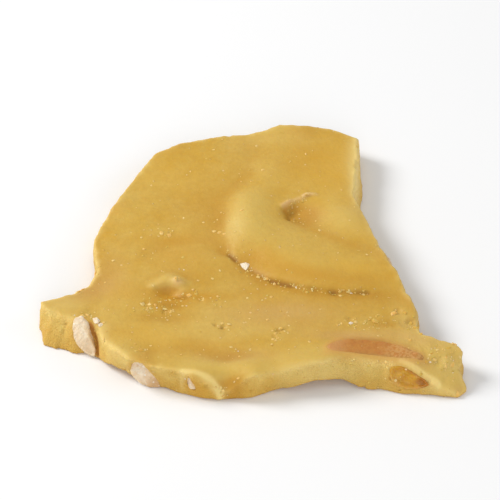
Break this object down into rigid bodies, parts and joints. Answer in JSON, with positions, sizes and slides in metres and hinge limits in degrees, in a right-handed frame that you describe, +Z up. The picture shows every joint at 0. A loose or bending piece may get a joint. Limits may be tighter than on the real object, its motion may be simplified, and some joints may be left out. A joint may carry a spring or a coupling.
{
  "type": "nut brittle piece",
  "caption": "Broken slab of opaque golden nut brittle with a folded, dimpled top, snapped edges and nuts showing in its faces; lies flat.",
  "frame": {"origin": "centre of the box's base, on the surface the piece lies on", "axes": "+Z up through the slab's thickness, +X to the right along the long broken front edge, +Y away from that edge"},
  "size_m": [0.0982, 0.0942, 0.0098],
  "materials": {
    "candy": "opaque golden aerated sugar candy, satin, paler and finely granular on the broken walls",
    "nut_pale": "broken raw nut, creamy white, matt",
    "nut_skin": "reddish brown nut coated by a thin film of candy, satin",
    "nut_glazed": "amber nut under clear candy, glossy"
  },
  "bodies": {
    "root": {"candy": "candy", "nut_left_front": "nut_pale", "nut_front": "nut_pale", "nut_front_chip": "nut_pale", "nut_top": "nut_skin", "nut_front_glazed": "nut_glazed", "nut_east": "nut_pale", "nut_right_low": "nut_pale", "nut_right": "nut_pale", "nut_back": "nut_pale", "nut_back_left": "nut_pale", "nut_left": "nut_pale", "nut_under": "nut_pale"}
  },
  "joints": []
}
